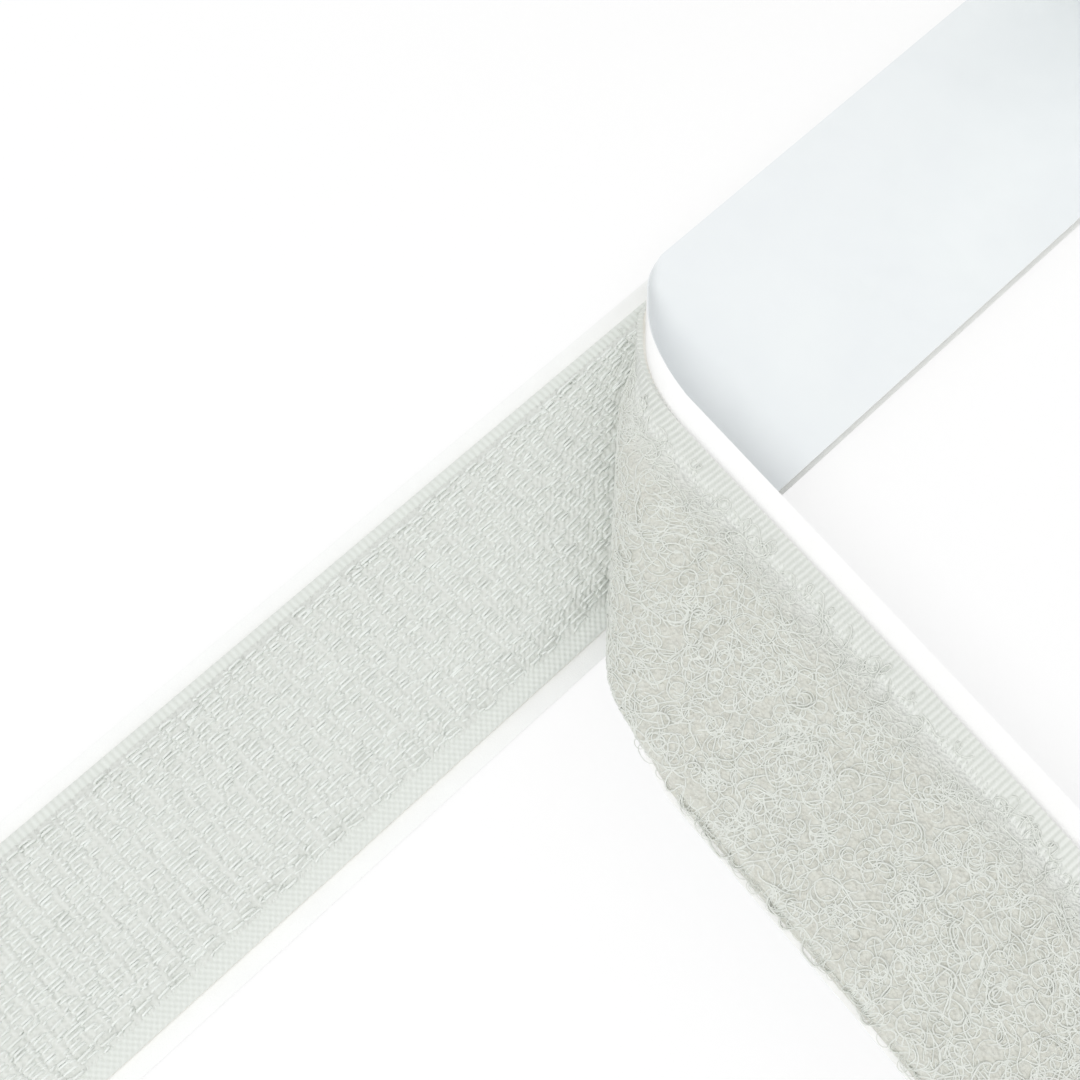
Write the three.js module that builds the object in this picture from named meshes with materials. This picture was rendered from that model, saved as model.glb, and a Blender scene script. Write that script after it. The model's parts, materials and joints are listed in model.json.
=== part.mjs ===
// Hook and loop tape roll: a self-adhesive hook tape and its loop tape, pressed together with
// release liners on both backs and wound on a cardboard core. The outer end of the roll lies on
// the table, and the loop tape is peeled off its last stretch, folded back and laid out sideways.
// Millimetres. X runs along the flat strip towards the roll, Y across it, Z up from the table.

import * as THREE from "three";
import { mergeVertices } from "three/addons/utils/BufferGeometryUtils.js";

// The two tapes and their liners
const tapeWidth = 25;
const linerMargin = 2; // how far a liner stands out past each edge of its tape
const adhesiveInset = 0.3; // how far the adhesive film keeps inside the tape's edges
const loopOffset = 1; // how far the loop tape lies off the middle of the strip, towards -Y
const linerThickness = 0.15;
const adhesiveThickness = 0.2;
const hookPlyThickness = 0.3; // the woven base under the whole hook tape
const hookSliceThickness = 0.2; // the upper ply that the hooks are rooted in
const loopPlyThickness = 0.5;
const matedPileThickness = 1.5; // loops pressed over hooks
const freePileThickness = 1.8; // loops that stand free
const pileSelvage = 2.3; // plain ribbed edge that shows beside the pile
const pileLean = 0.3; // what still shows of the other edge, where the pile leans out
const layerGap = 0.1;
const endGap = 0.3; // between two stretches of one layer that meet end to end

// Where the strip lies
const leaderEnd = -95; // where both tapes are cut off, with the strip laid flat
const peelX = 6.6; // where the peel line crosses the strip's middle
const peelAngle = 43.4 * THREE.MathUtils.DEG2RAD; // of the peel line, from +X towards +Y
const rollX = 114; // below the roll's axis

// The fold of the loop tape
const lowerBendRadius = 2.4;
const foldRise = 2.3; // straight part of the fold, between its two arcs
const upperBendRadius = 5.2;
const foldGlide = 6; // how far the tape has slid along the peel line where it leaves the fold
const levelRun = 20; // the leaf stays level this far past the far corner of the fold
const lowerBendSteps = 4;
const riseSteps = 2;
const upperBendSteps = 6;
const sagSteps = 10;
const angleHalvings = 50; // the sag's angle is found by halving its range this often

// The roll
const coreBore = 38;
const coreWall = 2;
const coreOverhang = 0.5; // how far the core stands out past the liners at each side
const coreClearance = 0.5;
const coreSides = 60;
const turnGap = 0.45; // from one turn of the strip to the next
const turns = 7.25;
const stepsPerTurn = 20;

// The hooks
const hookBands = 4; // the leader's hooks are woven in this many bands
const hookColumns = 5; // columns of hooks in a band
const hookRows = 15; // hooks in a column
const hookSelvage = 1.6; // plain edge of the hook tape that carries no hooks
const hookHeight = 1.6;
const hookReach = 0.95; // how far a hook bends over, along the tape
const hookDroop = 0.45; // how far its tip comes down again
const hookStrand = 0.34; // across a strand at its root
const hookCrownShare = 0.8; // of that width, at the crown
const hookLeanShare = 0.2; // of the reach, from root to crown
const bandGap = 0.3; // between two bands
const bandMargin = 1.1; // from a band's edge to its first column
const strandSides = 3;

// Heights of the flat strip's layers above the table, from the liner up
const linerWidth = tapeWidth + linerMargin + linerMargin;
const adhesiveWidth = tapeWidth - adhesiveInset - adhesiveInset;
const hookAdhesiveZ = linerThickness + layerGap;
const hookPlyZ = hookAdhesiveZ + adhesiveThickness + layerGap;
const hookSliceZ = hookPlyZ + hookPlyThickness + layerGap;
const hookSliceTop = hookSliceZ + hookSliceThickness;
const loopPlyZ = hookSliceZ + matedPileThickness + layerGap;

// Depths of the loop tape's layers behind the face of its woven ply; the pile is in front of it
const loopAdhesiveDepth = loopPlyThickness + layerGap;
const loopLinerDepth = loopAdhesiveDepth + adhesiveThickness + layerGap;
const loopBackDepth = loopLinerDepth + linerThickness;
const stackHeight = loopPlyZ + loopBackDepth;

// The peel line, and the length of tape in the fold that rises from it
const alongPeel = new THREE.Vector2(Math.cos(peelAngle), Math.sin(peelAngle));
const outOfPeel = new THREE.Vector2(-Math.sin(peelAngle), Math.cos(peelAngle));
const quarter = Math.PI / 2;
const lowerBendLength = lowerBendRadius * quarter;
const riseEnd = lowerBendLength + foldRise;
const bendLength = riseEnd + upperBendRadius * quarter;
const leafZ = loopPlyZ + lowerBendRadius + foldRise + upperBendRadius;

// Where the tape, laid flat, crosses the line that is dist past the peel line, at height y
const flatX = (y, dist) => peelX + (y * Math.cos(peelAngle) - dist) / Math.sin(peelAngle);
const pastPeel = (x, y) => (y - (x - peelX) * Math.tan(peelAngle)) * Math.cos(peelAngle);

// The leaf sags in one arc, turned down so far that the liner's cut end just meets the table
const sagStartX = flatX(-linerWidth / 2, bendLength) - levelRun;
const sagLength = sagStartX - leaderEnd;
const sagAngle = angleToTable(sagLength);
const sagRadius = sagLength / sagAngle;

function angleToTable(length) {
  let [low, high] = [0, quarter];
  const endHeight = (angle) =>
    leafZ - (length / angle) * (1 - Math.cos(angle)) - loopBackDepth * Math.cos(angle);
  for (let halving = 0; halving < angleHalvings; halving++) {
    const middle = (low + high) / 2;
    if (endHeight(middle) > 0) low = middle;
    else high = middle;
  }
  return low;
}

// From a point of the flat loop tape, and a depth behind its face, to its place in the fold
function onFold(x, y, depth) {
  const dist = pastPeel(x, y);
  const slid = foldGlide * THREE.MathUtils.smoothstep(dist, 0, bendLength);
  const along = (x - peelX) * alongPeel.x + y * alongPeel.y - slid;
  let out = dist;
  let z = loopPlyZ + depth;
  if (dist > bendLength) {
    out = lowerBendRadius - upperBendRadius - (dist - bendLength);
    z = leafZ - depth;
  } else if (dist > riseEnd) {
    const turn = (dist - riseEnd) / upperBendRadius;
    out = lowerBendRadius - upperBendRadius + (upperBendRadius - depth) * Math.cos(turn);
    z = leafZ - upperBendRadius + (upperBendRadius - depth) * Math.sin(turn);
  } else if (dist > lowerBendLength) {
    out = lowerBendRadius - depth;
    z = loopPlyZ + lowerBendRadius + dist - lowerBendLength;
  } else if (dist > 0) {
    const turn = dist / lowerBendRadius;
    out = (lowerBendRadius - depth) * Math.sin(turn);
    z = loopPlyZ + lowerBendRadius - (lowerBendRadius - depth) * Math.cos(turn);
  }
  const spot = alongPeel.clone().multiplyScalar(along).addScaledVector(outOfPeel, out);
  return new THREE.Vector3(peelX + spot.x, spot.y, z);
}

// The same for the leaf, which is level as far as the start of its sag
function onLeaf(x, y, depth) {
  if (x >= sagStartX) return onFold(x, y, depth);
  const turn = (sagStartX - x) / sagRadius;
  const run = (sagRadius - depth) * Math.sin(turn);
  const start = onFold(sagStartX, y, depth);
  const heading = peelAngle + peelAngle; // the tape's own direction, mirrored in the peel line
  return new THREE.Vector3(
    start.x - run * Math.cos(heading),
    start.y - run * Math.sin(heading),
    leafZ - sagRadius + (sagRadius - depth) * Math.cos(turn)
  );
}

const onTable = (x, y, depth) => new THREE.Vector3(x, y, depth);
const overHooks = (x, y, depth) => new THREE.Vector3(x, y, loopPlyZ + depth);

// A closed solid from rings of four corners, each ring joined to the next
function ringSolid(rings) {
  const places = rings.flat();
  const faces = [0, 2, 1, 0, 3, 2];
  const corners = rings[0].length;
  for (let ring = 0; ring + 1 < rings.length; ring++) {
    for (let side = 0; side < corners; side++) {
      const a = ring * corners + side;
      const b = ring * corners + ((side + 1) % corners);
      faces.push(a, b, b + corners, a, b + corners, a + corners);
    }
  }
  const last = (rings.length - 1) * corners;
  faces.push(last, last + 1, last + 2, last, last + 2, last + 3);
  return facingOut(places, faces);
}

// A geometry from corners and faces, turned right side out if the faces point in
function facingOut(places, faces) {
  let volume = 0;
  for (let i = 0; i < faces.length; i += 3) {
    const [a, b, c] = [places[faces[i]], places[faces[i + 1]], places[faces[i + 2]]];
    volume += a.dot(b.clone().cross(c));
  }
  if (volume < 0) faces.reverse();
  const geometry = new THREE.BufferGeometry();
  geometry.setAttribute("position", new THREE.Float32BufferAttribute(places.flatMap((p) => [...p]), 3));
  geometry.setIndex(faces);
  geometry.computeVertexNormals();
  return geometry;
}

// A layer of tape from its stations: each is the flat x at the left and right edge, and its depths
function layer(stations, left, right, place) {
  return ringSolid(
    stations.map(({ leftX, rightX, near, far }) => [
      place(leftX, left, near),
      place(rightX, right, near),
      place(rightX, right, far),
      place(leftX, left, far),
    ])
  );
}

// Stations on lines beside the peel line, for a layer between y = left and y = right
function besidePeel(dists, left, right, near, far) {
  return dists.map((dist) => ({
    leftX: flatX(left, dist),
    rightX: flatX(right, dist),
    near: near(dist),
    far: far(dist),
  }));
}

const squareStation = (x, near, far) => ({ leftX: x, rightX: x, near, far });

// Where the fold is cut into flats: across the lower arc, the rise and the upper arc
function bendStations() {
  const dists = [];
  for (let i = 0; i < lowerBendSteps; i++) dists.push((lowerBendLength * i) / lowerBendSteps);
  for (let i = 0; i < riseSteps; i++) dists.push(lowerBendLength + (foldRise * i) / riseSteps);
  for (let i = 0; i <= upperBendSteps; i++) {
    dists.push(THREE.MathUtils.lerp(riseEnd, bendLength, i / upperBendSteps));
  }
  dists[0] += endGap / 2;
  dists[dists.length - 1] -= endGap / 2;
  return dists;
}

// How thick the pile stands at a distance past the peel line, as it springs free of the hooks
function pileThickness(dist) {
  const free = THREE.MathUtils.clamp(dist / lowerBendLength, 0, 1);
  return THREE.MathUtils.lerp(matedPileThickness, freePileThickness, free);
}

// The four layers of the loop tape: edges, and depths behind the face of the woven ply
const loopLayers = {
  loop_pile: {
    left: tapeWidth / 2 - pileSelvage - loopOffset,
    right: -tapeWidth / 2 + pileLean - loopOffset,
    near: (dist) => -layerGap - pileThickness(dist),
    far: () => -layerGap,
    colour: 0xd3d6ce,
    roughness: 0.95,
  },
  loop_tape: {
    left: tapeWidth / 2 - loopOffset,
    right: -tapeWidth / 2 - loopOffset,
    near: () => 0,
    far: () => loopPlyThickness,
    colour: 0xdadddd,
    roughness: 0.9,
  },
  loop_adhesive: {
    left: adhesiveWidth / 2 - loopOffset,
    right: -adhesiveWidth / 2 - loopOffset,
    near: () => loopAdhesiveDepth,
    far: () => loopAdhesiveDepth + adhesiveThickness,
    colour: 0xe9e8e0,
    roughness: 0.35,
  },
  loop_liner: {
    left: linerWidth / 2,
    right: -linerWidth / 2,
    near: () => loopLinerDepth,
    far: () => loopBackDepth,
    colour: 0xf3f6f7,
    roughness: 0.2,
  },
};

function finish(colour, roughness) {
  return new THREE.MeshStandardMaterial({ color: colour, roughness, metalness: 0 });
}

const object = new THREE.Group();

function add(name, geometry, colour, roughness) {
  const mesh = new THREE.Mesh(geometry, finish(colour, roughness));
  mesh.name = name;
  object.add(mesh);
  return mesh;
}

// Each loop layer in three stretches: still on the hooks, in the fold, and in the free leaf
function addLoopTape() {
  for (const [name, { left, right, near, far, colour, roughness }] of Object.entries(loopLayers)) {
    const matedEnd = squareStation(rollX - endGap / 2, near(0), far(0));
    const mated = [...besidePeel([-endGap / 2], left, right, near, far), matedEnd];
    add(`${name}_mated`, layer(mated, left, right, overHooks), colour, roughness);

    const bend = besidePeel(bendStations(), left, right, near, far);
    add(`${name}_bend`, layer(bend, left, right, onFold), colour, roughness);

    const leaf = besidePeel([bendLength + endGap / 2], left, right, near, far);
    for (let i = 0; i <= sagSteps; i++) {
      const x = THREE.MathUtils.lerp(sagStartX, leaderEnd, i / sagSteps);
      leaf.push(squareStation(x, near(bendLength), far(bendLength)));
    }
    add(`${name}_leaf`, layer(leaf, left, right, onLeaf), colour, roughness);
  }
}

// The hook tape's flat layers, from the cut end of the leader to the roll
function addHookTape() {
  const flat = (name, width, bottom, thickness, colour, roughness) => {
    const top = bottom + thickness;
    const ends = [squareStation(leaderEnd, bottom, top), squareStation(rollX - endGap / 2, bottom, top)];
    add(name, layer(ends, width / 2, -width / 2, onTable), colour, roughness);
  };
  flat("hook_liner", linerWidth, 0, linerThickness, 0xfefefd, 0.35);
  flat("hook_adhesive", adhesiveWidth, hookAdhesiveZ, adhesiveThickness, 0xe9e8e0, 0.35);
  flat("hook_tape", tapeWidth, hookPlyZ, hookPlyThickness, 0xdbdfd9, 0.85);
}

// One hook's corners: a root, a crown that leans over, and the point that it ends in
function hookCorners(x, y, way) {
  const radius = hookStrand / 2;
  const crown = hookSliceTop + hookHeight - radius;
  const corners = [];
  const ring = (reach, height, size, tilt) => {
    for (let i = 0; i < strandSides; i++) {
      const turn = (2 * Math.PI * i) / strandSides;
      const along = size * Math.cos(turn);
      corners.push(
        new THREE.Vector3(
          x + way * reach + along * Math.cos(tilt),
          y + size * Math.sin(turn),
          height - way * along * Math.sin(tilt)
        )
      );
    }
  };
  ring(0, hookSliceTop, radius, 0);
  ring(hookReach * hookLeanShare, crown, radius * hookCrownShare, quarter / 2);
  corners.push(new THREE.Vector3(x + way * hookReach, y, hookSliceTop + hookHeight - hookDroop));
  return corners;
}

// A band of hooks: a slice of woven ply whose top face has a hole for each hook, from which the
// hook's three sides rise, so that the strands and the ply are one body
function hookBand(outline, hooks) {
  const flatten = (corners) => corners.map((corner) => new THREE.Vector2(corner.x, corner.y));
  const top = outline.map((spot) => new THREE.Vector3(spot.x, spot.y, hookSliceTop));
  const roots = hooks.map((corners) => corners.slice(0, strandSides));
  const tops = THREE.ShapeUtils.triangulateShape(flatten(top), roots.map(flatten));
  const places = [...top, ...roots.flat()];
  const faces = [];
  for (const [a, b, c] of tops) {
    const [first, second] = [places[b].clone().sub(places[a]), places[c].clone().sub(places[a])];
    faces.push(...(first.cross(second).z > 0 ? [a, b, c] : [a, c, b]));
  }
  hooks.forEach((corners, index) => {
    const root = top.length + index * strandSides;
    const crown = places.length;
    places.push(...corners.slice(strandSides));
    for (let side = 0; side < strandSides; side++) {
      const next = (side + 1) % strandSides;
      faces.push(root + side, root + next, crown + next, root + side, crown + next, crown + side);
      faces.push(crown + side, crown + next, crown + strandSides);
    }
  });
  const under = places.length;
  places.push(...outline.map((spot) => new THREE.Vector3(spot.x, spot.y, hookSliceZ)));
  outline.forEach((spot, i) => {
    const next = (i + 1) % outline.length;
    faces.push(under + i, under + next, next, under + i, next, i);
    if (i > 1) faces.push(under, under + i, under + i - 1);
  });
  return facingOut(places, faces);
}

// The bands of hooks on the leader. The last one ends beside the peel line, where the loops that
// still rise from it are clear of the woven ply.
function addHookBands() {
  const rise = hookSliceTop + layerGap - hookSliceZ;
  const firstRadius = lowerBendRadius + layerGap + freePileThickness;
  const bandDist = firstRadius * Math.sin(Math.acos(1 - rise / firstRadius));
  const hookDist = firstRadius + hookReach;
  const left = tapeWidth / 2;
  const right = -left;
  const bandLength = (flatX(right, bandDist) - leaderEnd) / hookBands;
  const rowPitch = (tapeWidth - hookSelvage - hookSelvage) / (hookRows - 1);
  for (let band = 0; band < hookBands; band++) {
    const start = leaderEnd + band * bandLength;
    const end = start + bandLength - bandGap;
    const last = band === hookBands - 1;
    const outline = [
      new THREE.Vector2(start, right),
      new THREE.Vector2(last ? flatX(right, bandDist) : end, right),
      new THREE.Vector2(last ? flatX(left, bandDist) : end, left),
      new THREE.Vector2(start, left),
    ];
    const hooks = [];
    for (let row = 0; row < hookRows; row++) {
      const y = right + hookSelvage + row * rowPitch;
      const lastX = last ? flatX(y, hookDist) : end - bandMargin;
      for (let column = 0; column < hookColumns; column++) {
        const x = THREE.MathUtils.lerp(start + bandMargin, lastX, column / (hookColumns - 1));
        hooks.push(hookCorners(x, y, (row + column) % 2 ? 1 : -1));
      }
    }
    add(`hook_rows_${band + 1}`, hookBand(outline, hooks), 0xdbdfd9, 0.55);
  }
}

// The roll: four windings of the same strip, on one spiral that closes in by a pitch each turn
const coreRadius = coreBore / 2 + coreWall;
const turnPitch = stackHeight + turnGap;
const rollRadius = coreRadius + coreClearance + stackHeight + turnPitch * turns;
const rollZ = rollRadius;

function windingAngles() {
  const angles = [Math.asin(endGap / 2 / rollRadius)];
  const steps = Math.round(turns * stepsPerTurn);
  for (let i = 1; i <= steps; i++) angles.push((2 * Math.PI * i) / stepsPerTurn);
  return angles;
}

function onSpiral(angle, depth) {
  const radius = rollRadius - depth - (turnPitch * angle) / (2 * Math.PI);
  return new THREE.Vector2(rollX + radius * Math.sin(angle), rollZ - radius * Math.cos(angle));
}

function winding(width, offset, near, far) {
  const [left, right] = [width / 2 - offset, -width / 2 - offset];
  return ringSolid(
    windingAngles().map((angle) => {
      const [outside, inside] = [onSpiral(angle, near), onSpiral(angle, far)];
      return [
        new THREE.Vector3(outside.x, left, outside.y),
        new THREE.Vector3(outside.x, right, outside.y),
        new THREE.Vector3(inside.x, right, inside.y),
        new THREE.Vector3(inside.x, left, inside.y),
      ];
    })
  );
}

// The least distance from the outside of each turn to the inside of the turn around it
function leastTurnGap(near, far) {
  const angles = windingAngles();
  const nearest = new THREE.Vector2();
  let least = Infinity;
  for (let i = stepsPerTurn; i < angles.length; i++) {
    const ends = [onSpiral(angles[i - 1], near), onSpiral(angles[i], near)];
    const points = [...ends, ends[0].clone().lerp(ends[1], 1 / 2)];
    for (let j = Math.max(1, i - stepsPerTurn - 1); j <= i - stepsPerTurn + 1; j++) {
      const a = onSpiral(angles[j - 1], far);
      const chord = onSpiral(angles[j], far).sub(a);
      for (const point of points) {
        const share = point.clone().sub(a).dot(chord) / chord.lengthSq();
        nearest.copy(a).addScaledVector(chord, THREE.MathUtils.clamp(share, 0, 1));
        least = Math.min(least, nearest.distanceTo(point));
      }
    }
  }
  return least;
}

function addRoll() {
  const hookTapeTop = hookSliceZ + matedPileThickness / 2;
  const filmZ = stackHeight - linerThickness;
  const addWinding = (name, width, offset, near, far, colour, roughness) => {
    add(name, winding(width, offset, near, far), colour, roughness);
    console.error(`${name}: least gap to itself ${leastTurnGap(near, far).toFixed(3)} mm`);
  };
  addWinding("hook_liner_wound", linerWidth, 0, 0, linerThickness, 0xfefefd, 0.35);
  addWinding("hook_tape_wound", tapeWidth, 0, hookAdhesiveZ, hookTapeTop, 0xdbdfd9, 0.85);
  const [loopsNear, loopsFar] = [hookTapeTop + layerGap, filmZ - layerGap];
  addWinding("loop_tape_wound", tapeWidth, loopOffset, loopsNear, loopsFar, 0xd3d6ce, 0.95);
  addWinding("loop_liner_wound", linerWidth, 0, filmZ, stackHeight, 0xf3f6f7, 0.2);
  console.error(`strip: least gap from turn to turn ${leastTurnGap(0, stackHeight).toFixed(3)} mm`);
}

function addCore() {
  const half = linerWidth / 2 + coreOverhang;
  const inner = coreBore / 2;
  const profile = [
    new THREE.Vector2(inner, -half),
    new THREE.Vector2(coreRadius, -half),
    new THREE.Vector2(coreRadius, half),
    new THREE.Vector2(inner, half),
    new THREE.Vector2(inner, -half),
  ];
  const tube = new THREE.LatheGeometry(profile, coreSides);
  tube.deleteAttribute("normal");
  tube.deleteAttribute("uv");
  const core = add("core_tube", mergeVertices(tube), 0xb59a78, 0.9);
  core.position.set(rollX, 0, rollZ);
}

addCore();
addHookTape();
addHookBands();
addLoopTape();
addRoll();

export default object;
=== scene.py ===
import json
import math
import random

import bmesh
import bpy
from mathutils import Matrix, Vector, noise


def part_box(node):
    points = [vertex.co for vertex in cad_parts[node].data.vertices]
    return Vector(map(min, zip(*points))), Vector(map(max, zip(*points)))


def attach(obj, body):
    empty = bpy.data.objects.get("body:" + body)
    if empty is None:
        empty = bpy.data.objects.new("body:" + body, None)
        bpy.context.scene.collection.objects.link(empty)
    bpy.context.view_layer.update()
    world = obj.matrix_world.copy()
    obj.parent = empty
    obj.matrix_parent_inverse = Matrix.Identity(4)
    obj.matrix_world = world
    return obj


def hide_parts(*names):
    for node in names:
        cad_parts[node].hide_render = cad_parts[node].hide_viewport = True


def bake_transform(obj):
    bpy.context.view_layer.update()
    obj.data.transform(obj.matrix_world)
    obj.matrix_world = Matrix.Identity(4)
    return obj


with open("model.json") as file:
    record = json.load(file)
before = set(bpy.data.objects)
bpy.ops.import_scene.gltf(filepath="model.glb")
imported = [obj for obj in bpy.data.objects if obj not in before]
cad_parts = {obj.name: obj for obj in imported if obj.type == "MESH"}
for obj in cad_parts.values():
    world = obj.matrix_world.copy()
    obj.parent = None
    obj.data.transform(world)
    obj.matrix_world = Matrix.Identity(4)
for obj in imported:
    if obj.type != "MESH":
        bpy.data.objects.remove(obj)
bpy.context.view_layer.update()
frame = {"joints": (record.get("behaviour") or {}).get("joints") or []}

scene = bpy.context.scene
scene.view_settings.view_transform = "Standard"
mm = 0.001  # every size below is in millimetres and becomes metres here
root, leafBody = "roll_and_leader", "loop_leaf"


def boxOf(node):
    low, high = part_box(node)
    return low / mm, high / mm


# The strip lies along X with its hooks up, and the loop tape is folded back along the peel line.
# Places on the loop tape are given as on the flat strip, with a depth behind the face of its ply.
joint = frame["joints"][0]
peelTurn = math.atan2(-joint["axis"][1], -joint["axis"][0])
alongPeel = Vector((math.cos(peelTurn), math.sin(peelTurn)))
outOfPeel = Vector((-math.sin(peelTurn), math.cos(peelTurn)))
tapeLow, tapeHigh = boxOf("hook_tape")
linerLow, linerHigh = boxOf("hook_liner")
half, linerHalf = tapeHigh.y, linerHigh.y
hookFace = tapeHigh.z + 0.3  # the hooks are rooted here, a little over the CAD ply
loopLow, loopHigh = boxOf("loop_tape_mated")
loopFace, loopLeft, loopRight = loopLow.z, loopHigh.y, loopLow.y
leafHeight = boxOf("loop_tape_bend")[1].z
linerBack = boxOf("loop_liner_mated")[1].z - loopFace
coreLow, coreHigh = boxOf("core_tube")
# The tape bends up round the lower radius, rises, bends over round the upper one and runs level for a
# little, and glides along the peel line meanwhile
fold = {
    "peelX": 6.6, "lower": 2.4, "rise": 2.3, "upper": 5.2, "glide": 6.0, "level": 20.0,
    "blendOver": 0.2, "blendUnder": 0.6,
}
lowerEnd = fold["lower"] * math.pi / 2
riseEnd = lowerEnd + fold["rise"]
bendEnd = riseEnd + fold["upper"] * math.pi / 2


def flatX(y, past):  # where the flat tape crosses the line that is so far past the peel line
    return fold["peelX"] + (y * alongPeel.x - past) / alongPeel.y


def pastPeel(x, y):
    return y * alongPeel.x - (x - fold["peelX"]) * alongPeel.y


def peelLine(y):
    return flatX(y, 0)


def leafLine(y):  # where the fold ends and the leaf starts
    return flatX(y, bendEnd)


def at(value):
    return lambda y: value


sagStart = flatX(linerLow.y, bendEnd) - fold["level"]
sagLength = sagStart - tapeLow.x


def sagAngleToTable():  # the turn at which the leaf's end comes down to the table
    low, high = 0.0, math.pi / 2
    for halving in range(50):
        angle = (low + high) / 2
        drop = sagLength / angle * (1 - math.cos(angle)) + linerBack * math.cos(angle)
        low, high = (angle, high) if drop < leafHeight else (low, angle)
    return low


sagRadius = sagLength / sagAngleToTable()


def ease(share):
    share = min(1.0, max(0.0, share))
    return share * share * (3 - 2 * share)


def onFold(x, y, depth):
    past = pastPeel(x, y)
    along = (x - fold["peelX"]) * alongPeel.x + y * alongPeel.y - fold["glide"] * ease(past / bendEnd)
    back = fold["lower"] - fold["upper"]
    out, z = past, loopFace + depth
    if past > bendEnd:
        out, z = back - (past - bendEnd), leafHeight - depth
    elif past > riseEnd:
        turn = (past - riseEnd) / fold["upper"]
        out = back + (fold["upper"] - depth) * math.cos(turn)
        z = leafHeight - fold["upper"] + (fold["upper"] - depth) * math.sin(turn)
    elif past > lowerEnd:
        out, z = fold["lower"] - depth, loopFace + fold["lower"] + past - lowerEnd
    elif past > 0:
        turn = past / fold["lower"]
        out = (fold["lower"] - depth) * math.sin(turn)
        z = loopFace + fold["lower"] - (fold["lower"] - depth) * math.cos(turn)
    spot = alongPeel * along + outOfPeel * out
    return Vector((fold["peelX"] + spot.x, spot.y, z))


def onLeaf(x, y, depth):
    if x >= sagStart:
        return onFold(x, y, depth)
    turn = (sagStart - x) / sagRadius
    run = (sagRadius - depth) * math.sin(turn)
    start = onFold(sagStart, y, depth)
    z = leafHeight - sagRadius + (sagRadius - depth) * math.cos(turn)
    return Vector((start.x - run * math.cos(2 * peelTurn), start.y - run * math.sin(2 * peelTurn), z))


def onStrip(x, y, height):
    return Vector((x, y, height))


def onMated(x, y, depth):  # on the loop tape where it lies closed on the strip
    return Vector((x, y, loopFace + depth))


roll = {"turns": 7.25, "gap": 0.45, "cuts": 96, "middle": 2.0, "meanTurn": 250.0}
turnPitch = loopFace + linerBack + roll["gap"]
rollX = (coreLow.x + coreHigh.x) / 2
rollZ = (coreLow.z + coreHigh.z) / 2


def onRoll(x, y, depth):  # x past the roll's foot is counted in turns, and depth is from the outside in
    radius = rollZ - depth - turnPitch * x
    turn = 2 * math.pi * x
    return Vector((rollX + radius * math.sin(turn), y, rollZ - radius * math.cos(turn)))


hookPick, loopPick, loopSelvage = 0.735, 0.65, 2.1
ribFade = 0.3  # the ribs of a selvage go on as far as this past it
pileLeft, pileRight = loopLeft - loopSelvage, loopRight
print("frame read")

# Materials


def newGroup(name, inputs, outputs):
    group = bpy.data.node_groups.new(name, "ShaderNodeTree")
    for label, kind, value in inputs:
        socket = group.interface.new_socket(name=label, in_out="INPUT", socket_type=kind)
        if value is not None:
            socket.default_value = value
    for label, kind in outputs:
        group.interface.new_socket(name=label, in_out="OUTPUT", socket_type=kind)
    ends = group.nodes.new("NodeGroupInput"), group.nodes.new("NodeGroupOutput")
    return group, ends[0], ends[1]


def addNode(tree, kind, values=(), **settings):
    node = tree.nodes.new("ShaderNode" + kind)
    for key, value in settings.items():
        setattr(node, key, value)
    for key, value in dict(values).items():
        node.inputs[key].default_value = value
    return node


def math2(tree, operation, first, second):
    node = addNode(tree, "Math", operation=operation)
    for place, value in enumerate((first, second)):
        if isinstance(value, (int, float)):
            node.inputs[place].default_value = value
        else:
            tree.links.new(value, node.inputs[place])
    return node.outputs[0]


# Woven yarns over the flat tape: picks across it and warp ends along it, a little uneven, with a mask of the
# low gaps between them where painted shade goes
def weaveGroup():
    group, start, end = newGroup(
        "woven yarns",
        [
            ("Flat", "NodeSocketVector", None),
            ("Pick", "NodeSocketFloat", hookPick),
            ("Warp", "NodeSocketFloat", 0.5),
            ("Crossing", "NodeSocketFloat", 0.4),
        ],
        [("Height", "NodeSocketFloat"), ("Gap", "NodeSocketFloat")],
    )
    wobble = addNode(group, "TexNoise", {"Scale": 0.9, "Detail": 2.0})
    group.links.new(start.outputs["Flat"], wobble.inputs["Vector"])
    split = addNode(group, "SeparateXYZ")
    group.links.new(start.outputs["Flat"], split.inputs[0])
    shift = math2(group, "MULTIPLY", wobble.outputs["Fac"], 0.12)
    along = math2(group, "DIVIDE", math2(group, "ADD", split.outputs["X"], shift), start.outputs["Pick"])
    across = math2(group, "DIVIDE", split.outputs["Y"], start.outputs["Warp"])
    picks = math2(group, "COSINE", math2(group, "MULTIPLY", along, 2 * math.pi), 0.0)
    warps = math2(group, "COSINE", math2(group, "MULTIPLY", across, 2 * math.pi), 0.0)
    crossing = math2(group, "MULTIPLY", picks, warps)
    straight = math2(group, "MULTIPLY", picks, math2(group, "SUBTRACT", 1.0, start.outputs["Crossing"]))
    ribs = math2(group, "ADD", straight, math2(group, "MULTIPLY", crossing, start.outputs["Crossing"]))
    group.links.new(ribs, end.inputs["Height"])
    # Gap marks the low places between the yarns, where the painted shade goes
    low = addNode(group, "MapRange", {"From Min": -1.0, "From Max": 0.5, "To Min": 1.0, "To Max": 0.0})
    group.links.new(ribs, low.inputs["Value"])
    group.links.new(low.outputs["Result"], end.inputs["Gap"])
    return group


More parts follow.
